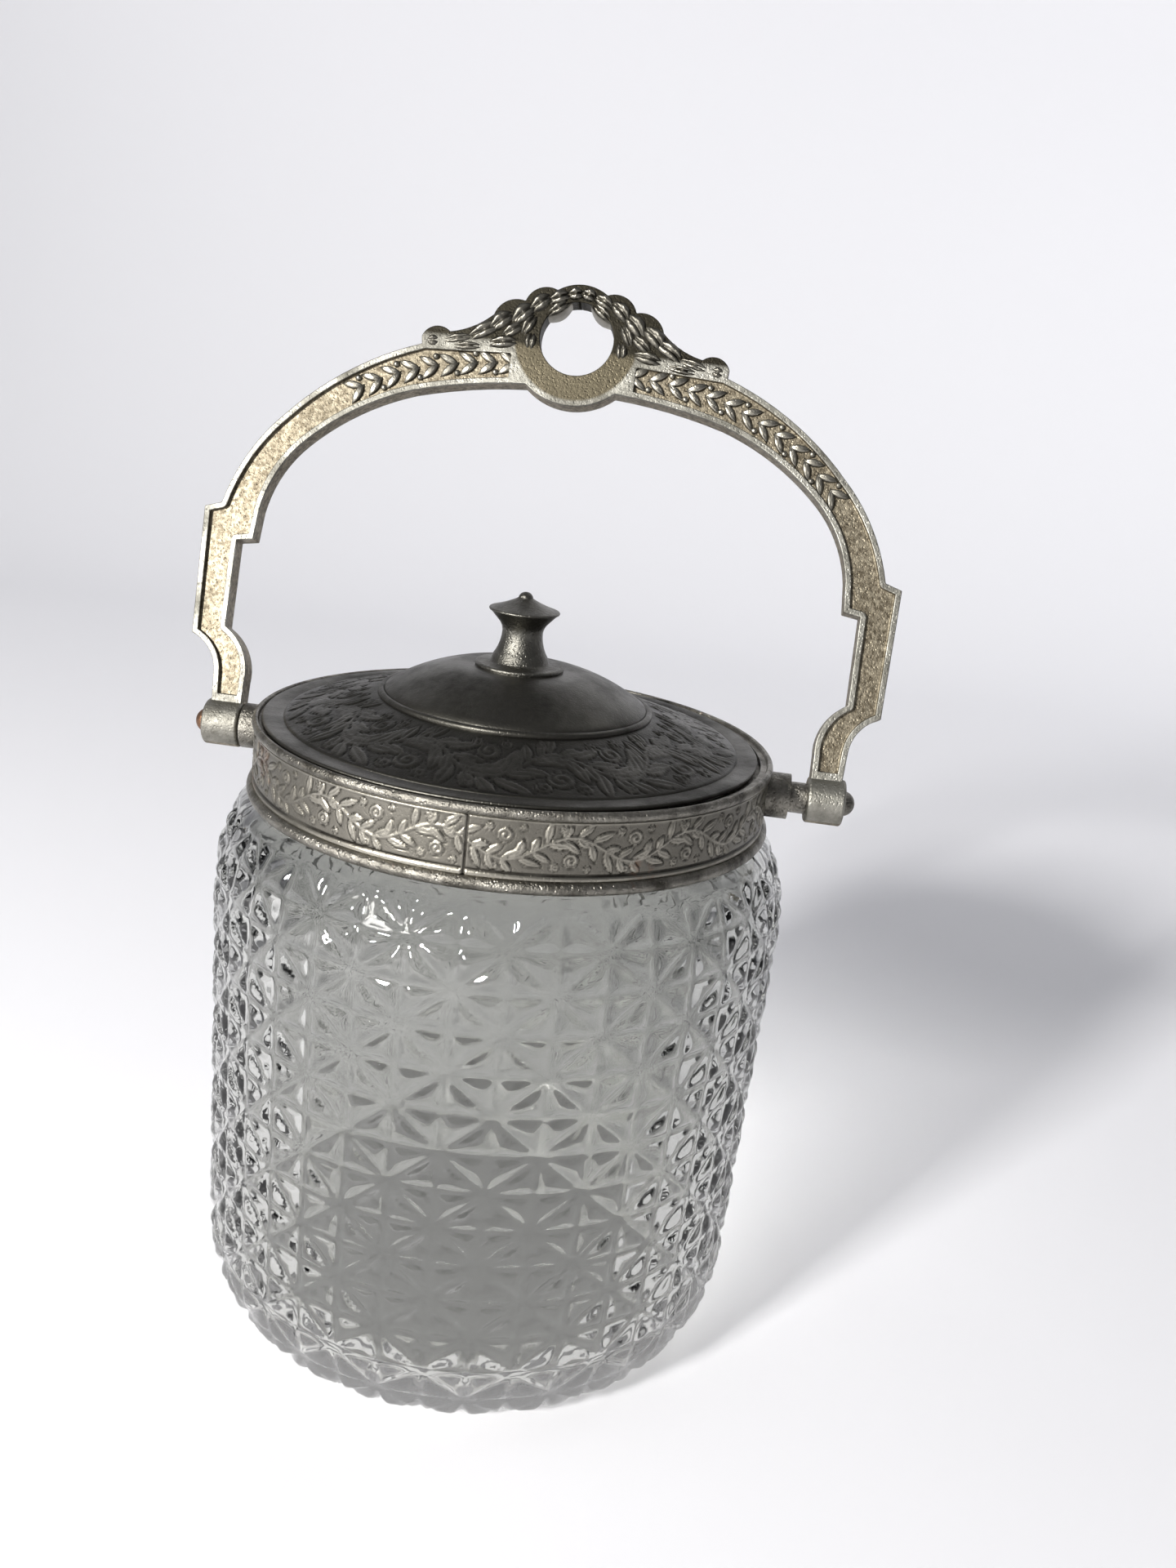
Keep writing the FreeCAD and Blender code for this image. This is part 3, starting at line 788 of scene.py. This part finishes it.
def make_lid():
    """The pressed lid, with the vine engraved on its slope."""
    profile, marks, inner, outer = lid_outline()
    columns = 108
    bm = spin_profile(profile, lid_repeats * columns, marks)
    layer = bm.verts.layers.float["along"]
    relief = bm.verts.layers.float.new("relief")
    period = turn * lid_vine_radius / lid_repeats
    height = outer - inner - 2 * lid_plain_edge
    motif = vine_motif(period, height, 12)
    known = {}
    for vert in bm.verts:
        radius = vert[layer]
        if radius < 0:
            vert[relief] = 0.85
            continue
        angle = math.atan2(vert.co.y, vert.co.x)
        column = round((angle + math.pi) * lid_repeats * columns / turn) % columns
        key = (column, round(radius / (0.01 * mm)))
        if key not in known:
            s, t = period * column / columns, radius - inner - lid_plain_edge
            known[key] = vine_height(s, t, period, height, motif) if 0 < t < height else 0.0
        # The relief layer feeds the painted shade of the engraved lid.
        vert[relief] = 0.5 + 0.5 * known[key]
        vert.co.z += lid_relief * known[key]
    bmesh.ops.translate(bm, verts=bm.verts, vec=(lid_offset, 0, 0))
    finish_mesh(bm, "lid_pressing", lid_relief_silver, "lid", ("lid_shell",), sharp_angle=50)


def make_knob():
    """Base flange, waist, brim and pointed tip, turned in one piece."""
    base = [(stud_radius, dome_top_height), (9.6 * mm, dome_top_height)]
    flange = arc_points((9.6 * mm, dome_top_height + 0.1 * mm), (9.65 * mm, dome_top_height + 0.5 * mm),
                        (9.1 * mm, dome_top_height + 0.95 * mm), 6)
    step = [(6.7 * mm, 152.2 * mm), (6.3 * mm, 152.6 * mm)]
    waist = (4.4 * mm, 158.6 * mm)
    flare = arc_points((5.9 * mm, 153.8 * mm), (4.75 * mm, 156.4 * mm), waist, 10)
    neck = arc_points(waist, (4.65 * mm, 160.1 * mm), (5.45 * mm, 161.3 * mm), 8)[1:]
    brim = [(7.0 * mm, 163.0 * mm)]
    brim += arc_points((7.45 * mm, 163.3 * mm), (7.65 * mm, 163.6 * mm), (7.4 * mm, 163.9 * mm), 6)
    cap = arc_points((7.1 * mm, 164.0 * mm), (4.0 * mm, 165.1 * mm), (1.9 * mm, 166.1 * mm), 10)
    tip = arc_points((1.6 * mm, 166.3 * mm), (1.1 * mm, 167.2 * mm), (0.2 * mm, 167.58 * mm), 6)
    socket = [(0, 167.6 * mm), (0, 156.2 * mm), (stud_radius, 156.2 * mm)]
    profile = base + flange + step + flare + neck + brim + cap + tip + socket
    turned_piece("turned_knob", profile, lid_silver, "lid", ("knob",), steps=turned_steps // 2,
                 shift=lid_offset, sharp_angle=50)


# Bail

def merged_copy(node):
    """A clean bmesh of a frame node: joined triangles with flat regions dissolved."""
    bm = bmesh.new()
    bm.from_mesh(nodes[node].data)
    bmesh.ops.remove_doubles(bm, verts=bm.verts, dist=merge_distance)
    bmesh.ops.dissolve_limit(bm, angle_limit=math.radians(1.0), verts=bm.verts, edges=bm.edges)
    bmesh.ops.recalc_face_normals(bm, faces=bm.faces)
    return bm


def make_bail():
    """The cast bail of the frame with its edges rounded."""
    bm = merged_copy("bail")
    piece = finish_mesh(bm, "cast_bail", bail_silver, "bail", ("bail",), sharp_angle=30)
    rounding = piece.modifiers.new("rounded_edges", "BEVEL")
    rounding.width = 0.35 * mm
    rounding.segments = 3
    rounding.limit_method = "ANGLE"
    rounding.angle_limit = math.radians(35)
    rounding.use_clamp_overlap = True


def bail_middle_line():
    """The middle of the arch's panel on one side, from the ring to the step."""
    crown, flank, step = (34.0 * mm, 84.0 * mm), (60.0 * mm, 67.2 * mm), (69.9 * mm, 48.6 * mm)
    line = arc_points((13.0 * mm, 87.4 * mm), (24.0 * mm, 86.2 * mm), crown, 12)
    line += arc_points(crown, (48.2 * mm, 77.2 * mm), flank, 16)[1:]
    line += arc_points(flank, (66.8 * mm, 57.6 * mm), step, 12)[1:]
    return line


def leaf_mesh(bm, length, width, height, matrix, bend=0.0, fine=False):
    """A pointed leaf with a sunk midrib, drawn along X and raised along Z; a fine one has side veins."""
    relief = bm.verts.layers.float["relief"]
    around, along = (28, 18) if fine else (12, 6)
    made = bmesh.ops.create_uvsphere(bm, u_segments=around, v_segments=along, radius=0.5)
    for vert in made["verts"]:
        x, y, z = vert.co * 2
        taper = max(0.0, 1 - abs(x) ** 2.2)
        rib = 1 - 0.24 * math.exp(-(y / 0.2) ** 2)
        if fine:
            rib -= 0.07 * (0.5 + 0.5 * math.cos(15 * x + 9 * abs(y))) * min(1.0, 3 * abs(y))
        level = math.copysign(abs(z) ** 0.55, z) * (0.6 + 0.4 * taper) * rib
        # The relief value sets the painted shade of the leaf in vine_silver.
        vert[relief] = max(0.0, 3.2 * abs(level) - 2.2) if fine else 0.3 + 0.7 * abs(level)
        vert.co = (x * length / 2, y * taper * width / 2 + bend * x * x, level * height)
    bmesh.ops.transform(bm, matrix=matrix, verts=made["verts"])


def ball_mesh(bm, radius, place):
    """A bright round berry."""
    relief = bm.verts.layers.float["relief"]
    matrix = Matrix.Translation(place)
    for vert in bmesh.ops.create_icosphere(bm, subdivisions=2, radius=radius, matrix=matrix)["verts"]:
        vert[relief] = 0.9


def finish_ornament(bm, name):
    """Move an ornament from the bail's upright plane to the bail, and make the object."""
    for vert in bm.verts:
        vert.co = on_bail(vert.co)
    bmesh.ops.recalc_face_normals(bm, faces=bm.faces)
    finish_mesh(bm, name, vine_silver, "bail", sharp_angle=180)


def make_bail_vine():
    """Paired leaves with berries between them, in the sunk panels of the arch on both faces."""
    bm = bmesh.new()
    bm.verts.layers.float.new("relief")
    length, width, height = panel_leaf
    stations = spaced(bail_middle_line(), leaf_step)
    for side, pairs in ((-1, left_leaf_pairs), (1, right_leaf_pairs)):
        for face in (-1, 1):
            ground = face * (bail_half_thickness - panel_depth)
            for k in range(pairs):
                u, v = stations[k][:2]
                next_u, next_v = stations[k + 1][:2]
                heading = math.atan2(next_v - v, next_u - u)
                for leaf_side in (-1, 1):
                    angle = heading + leaf_side * leaf_heading
                    across, up = u + leaf_reach * math.cos(angle), v + leaf_reach * math.sin(angle)
                    place = Matrix.Translation((side * across, ground, up))
                    place = place @ Matrix.Rotation(-(angle if side > 0 else math.pi - angle), 4, "Y")
                    place = place @ Matrix.Rotation(math.radians(-90 * face), 4, "X")
                    leaf_mesh(bm, length, width, height, place)
                offset = berry_offset if k % 2 == 0 else -berry_offset
                across, up = u - offset * math.sin(heading), v + offset * math.cos(heading)
                ball_mesh(bm, berry_radius, (side * across, ground + face * berry_lift, up))
    finish_ornament(bm, "bail_vine")


def ring_border(bm, radius, face_place):
    """A raised round border along the lower part of the ring. All points still at zero are made bright."""
    start = ring_border_start
    spot = Vector((radius * math.cos(start), face_place, ring_height + radius * math.sin(start)))
    section = Matrix.Translation(spot) @ Matrix.Rotation(-start, 4, "Y")
    section = section @ Matrix.Rotation(math.pi / 2, 4, "Z") @ Matrix.Rotation(math.pi / 2, 4, "Y")
    made = bmesh.ops.create_circle(bm, cap_ends=False, radius=ring_border_thickness, segments=10,
                                   matrix=section)
    edges = list({edge for vert in made["verts"] for edge in vert.link_edges})
    swept = bmesh.ops.spin(bm, geom=made["verts"] + edges, cent=(0, face_place, ring_height), axis=(0, -1, 0),
                           angle=ring_border_sweep, steps=40, use_merge=False)
    relief = bm.verts.layers.float["relief"]
    for vert in {vert for face in bm.faces for vert in face.verts if not vert[relief]}:
        vert[relief] = 0.85
    ends = edges + [edge for edge in swept["geom_last"] if isinstance(edge, bmesh.types.BMEdge)]
    bmesh.ops.holes_fill(bm, edges=ends, sides=12)


def make_crest():
    """The leaf crest over the ring: overlapping curled leaves, and the borders of the ring on both faces."""
    bm = bmesh.new()
    bm.verts.layers.float.new("relief")
    for side in (-1, 1):
        for across, up, heading, length, width, height, bend in crest_leaves:
            place = Matrix.Translation((side * across * mm, 0, up * mm))
            place = place @ Matrix.Rotation(-math.radians(heading) * side, 4, "Y")
            place = place @ Matrix.Rotation(math.pi / 2, 4, "X")
            leaf_mesh(bm, length * mm, width * mm, height * mm, place, -bend * mm, True)
    for face in (-1, 1):
        for radius in ring_border_radii:
            ring_border(bm, radius, face * (bail_half_thickness - 0.1 * mm))
    finish_ornament(bm, "leaf_crest")


# Pieces that keep the frame's shape

def dress_frame_nodes():
    """Materials for the nodes that no drawn piece replaces."""
    finishes = {
        "lid_seat_ring": rim_silver, "left_pivot_boss": rim_silver, "right_pivot_boss": rim_silver,
        "left_pivot_pin": copper, "right_pivot_pin": rim_silver, "lid_skirt": lid_silver,
        "plaster_bed": cement, "knob_stud": brass, "knob_washer": brass, "knob_nut": brass,
    }
    for name, material in finishes.items():
        slots = nodes[name].data.materials
        if len(slots):
            slots[0] = material
        else:
            slots.append(material)


# Studio

def make_sweep():
    """A floor that curves up into a wall behind the jar."""
    half_width = 3.0
    front = -3.0
    wall = 1.35
    wall_top = 3.0
    curve = 0.6
    curved = quarter_ellipse((wall - curve, 0.0), (wall, curve), 16, level_at_end=False)
    line = [(front, 0.0)] + curved + [(wall, wall_top)]
    bm = bmesh.new()
    verts = [bm.verts.new((-half_width, y, z)) for y, z in line]
    edges = [bm.edges.new(pair) for pair in zip(verts, verts[1:])]
    wide = bmesh.ops.extrude_edge_only(bm, edges=edges)
    moved = [vert for vert in wide["geom"] if isinstance(vert, bmesh.types.BMVert)]
    bmesh.ops.translate(bm, verts=moved, vec=(2 * half_width, 0, 0))
    bmesh.ops.recalc_face_normals(bm, faces=bm.faces)
    for face in bm.faces:
        face.smooth = True
    mesh = bpy.data.meshes.new("sweep")
    bm.to_mesh(mesh)
    bm.free()
    shader = Shader("pale_sweep")
    shader.surface.inputs["Base Color"].default_value = sweep_colour
    shader.surface.inputs["Roughness"].default_value = 0.8
    shader.surface.inputs["Specular IOR Level"].default_value = 0.1
    mesh.materials.append(shader.material)
    sweep = bpy.data.objects.new("sweep", mesh)
    bpy.context.scene.collection.objects.link(sweep)


def make_lamp(name, place, aim, size, power, colour=(1, 1, 1)):
    """A square area lamp at a place, facing its aim."""
    lamp = bpy.data.lights.new(name, "AREA")
    lamp.shape = "RECTANGLE"
    lamp.size = lamp.size_y = size
    lamp.energy = power
    lamp.color = colour
    holder = bpy.data.objects.new(name, lamp)
    holder.location = place
    holder.rotation_euler = (Vector(aim) - Vector(place)).to_track_quat("-Z", "Y").to_euler()
    bpy.context.scene.collection.objects.link(holder)
    return holder


def make_studio():
    """A small key from the front left, part of it not blocked by the glass, and two washes on the sweep."""
    make_sweep()
    make_lamp("key", key_place, key_aim, key_size, key_power, key_colour)
    through = make_lamp("key_through_glass", key_place, key_aim, key_size, key_through_glass_power,
                        key_colour)
    clear = bpy.data.collections.new("lets_light_through")
    clear.objects.link(bpy.data.objects["glass_body"])
    clear.collection_objects[0].light_linking.link_state = "EXCLUDE"
    through.light_linking.blocker_collection = clear
    left = make_lamp("left_wash", (-0.9, 0.5, 1.6), (-0.2, 1.35, 0.5), wash_size, left_wash_power)
    right = make_lamp("right_wash", (0.9, 0.55, 1.7), (0.8, 1.3, 0.2), wash_size, right_wash_power)
    for wash in (left, right):
        wash.data.spread = wash_spread
    make_world()
    bpy.context.scene.view_settings.view_transform = "Standard"


def make_world():
    """A dim world for the lighting that is pale where the camera sees it."""
    world = bpy.data.worlds.new("studio")
    bpy.context.scene.world = world
    world.use_nodes = True
    tree = world.node_tree
    link = tree.links.new
    dim = tree.nodes["Background"]
    dim.inputs["Color"].default_value = world_colour
    dim.inputs["Strength"].default_value = world_strength
    pale = tree.nodes.new("ShaderNodeBackground")
    pale.inputs["Color"].default_value = sweep_colour
    pale.inputs["Strength"].default_value = seen_world_strength
    rays = tree.nodes.new("ShaderNodeLightPath")
    chosen = tree.nodes.new("ShaderNodeMixShader")
    link(rays.outputs["Is Camera Ray"], chosen.inputs["Fac"])
    link(dim.outputs["Background"], chosen.inputs[1])
    link(pale.outputs["Background"], chosen.inputs[2])
    link(chosen.outputs["Shader"], tree.nodes["World Output"].inputs["Surface"])


def make_camera():
    """The camera of the photo's view."""
    view = bpy.data.cameras.new("camera")
    view.lens = camera_lens
    view.sensor_width = 36
    camera = bpy.data.objects.new("camera", view)
    camera.location = camera_place
    facing = (camera_aim - camera_place).to_track_quat("-Z", "Y").to_matrix()
    camera.rotation_euler = (facing @ Matrix.Rotation(camera_roll, 3, "Z")).to_euler()
    bpy.context.scene.collection.objects.link(camera)
    bpy.context.scene.camera = camera


make_camera()
make_glass()
make_studio()
make_band()
make_collar_mouldings()
make_lid()
make_knob()
make_bail()
make_bail_vine()
make_crest()
dress_frame_nodes()
